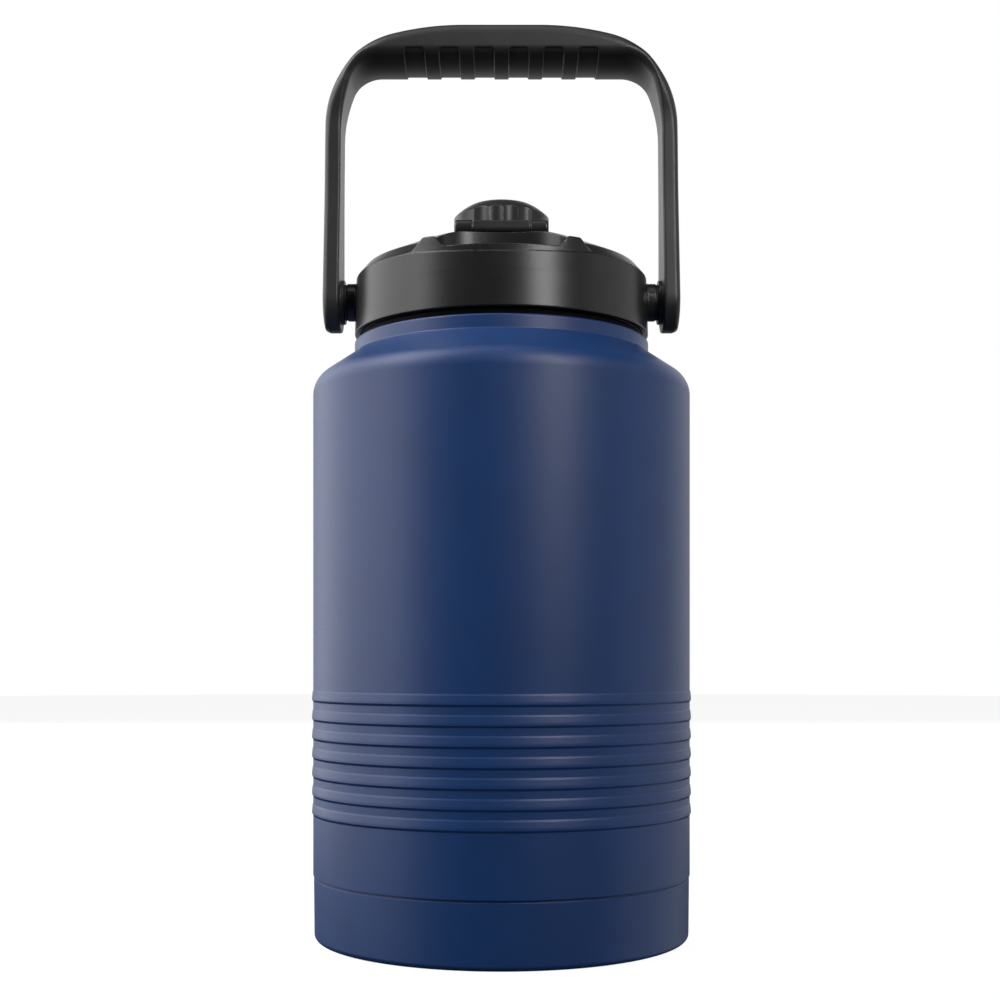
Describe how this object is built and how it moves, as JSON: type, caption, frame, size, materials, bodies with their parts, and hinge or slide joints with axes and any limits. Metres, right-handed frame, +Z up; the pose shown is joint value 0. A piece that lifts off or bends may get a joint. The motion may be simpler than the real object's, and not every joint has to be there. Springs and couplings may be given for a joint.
{
  "type": "insulated water jug",
  "caption": "Large double-walled insulated water jug with ribbed blue body, black screw-in lid, swinging bail handle and a hinged, fluted spout cap.",
  "frame": {"origin": "centre of the base, on the surface that the jug stands on", "axes": "+Z up along the body's axis, -Y to the front where the lid's pocket is, X along the handle's pivots"},
  "size_m": [0.1568, 0.1568, 0.3738],
  "materials": {
    "powder_coat": "fine satin powder coat",
    "brushed_liner": "brushed",
    "getter_metal": "dull",
    "seal_bead": "glassy",
    "black_silicone": "matte",
    "red_silicone": "matte",
    "clear_silicone": "matte",
    "lid_plastic": "fine spark texture",
    "plug_plastic": "satin",
    "handle_plastic": "fine spark texture",
    "cap_plastic": "satin",
    "washer_nylon": "matte",
    "lid_foam": "closed-cell foam",
    "insert_brass": "knurled",
    "fastener_steel": "machined"
  },
  "bodies": {
    "jug": {"outer_shell": "powder_coat", "base_cup": "powder_coat", "inner_liner": "brushed_liner", "getter": "getter_metal", "vacuum_seal": "seal_bead", "seal_cover": "brushed_liner"},
    "gasket": {"lid_gasket": "black_silicone"},
    "lid": {"lid_shell": "lid_plastic", "lid_plug": "plug_plastic", "lid_insulation": "lid_foam", "spout": "lid_plastic", "spout_seal": "red_silicone", "pivot_insert_left": "insert_brass", "pivot_insert_right": "insert_brass", "pivot_screw_left": "fastener_steel", "pivot_screw_right": "fastener_steel", "pivot_washer_left": "washer_nylon", "pivot_washer_right": "washer_nylon", "hinge_pin": "fastener_steel"},
    "handle": {"handle": "handle_plastic", "pivot_cap_left": "handle_plastic", "pivot_cap_right": "handle_plastic"},
    "tether": {"cap_tether": "cap_plastic"},
    "cap": {"spout_cap": "cap_plastic", "cap_seal": "clear_silicone"}
  },
  "joints": [
    {"name": "lid_lift", "type": "slide", "parent": "jug", "child": "gasket", "axis": [0, 0, 1], "range_m": [0, 0.0482]},
    {"name": "lid_turn", "type": "hinge", "parent": "gasket", "child": "lid", "pos_m": [0, 0, 0.248], "axis": [0, 0, 1], "range_deg": [0, 1440]},
    {"name": "handle_swing", "type": "hinge", "parent": "lid", "child": "handle", "pos_m": [0, 0, 0.2631], "axis": [1, 0, 0], "range_deg": [-115, 115]},
    {"name": "cap_flip", "type": "hinge", "parent": "lid", "child": "tether", "pos_m": [0, -0.0236, 0.2877], "axis": [1, 0, 0], "range_deg": [0, 180]},
    {"name": "cap_spin", "type": "hinge", "parent": "tether", "child": "cap", "pos_m": [0, 0, 0.288], "axis": [0, 0, 1], "continuous": true}
  ],
  "couplings": [
    {"joint": "lid_lift", "follows": "lid_turn", "m_per_rad": 0.0019099}
  ]
}
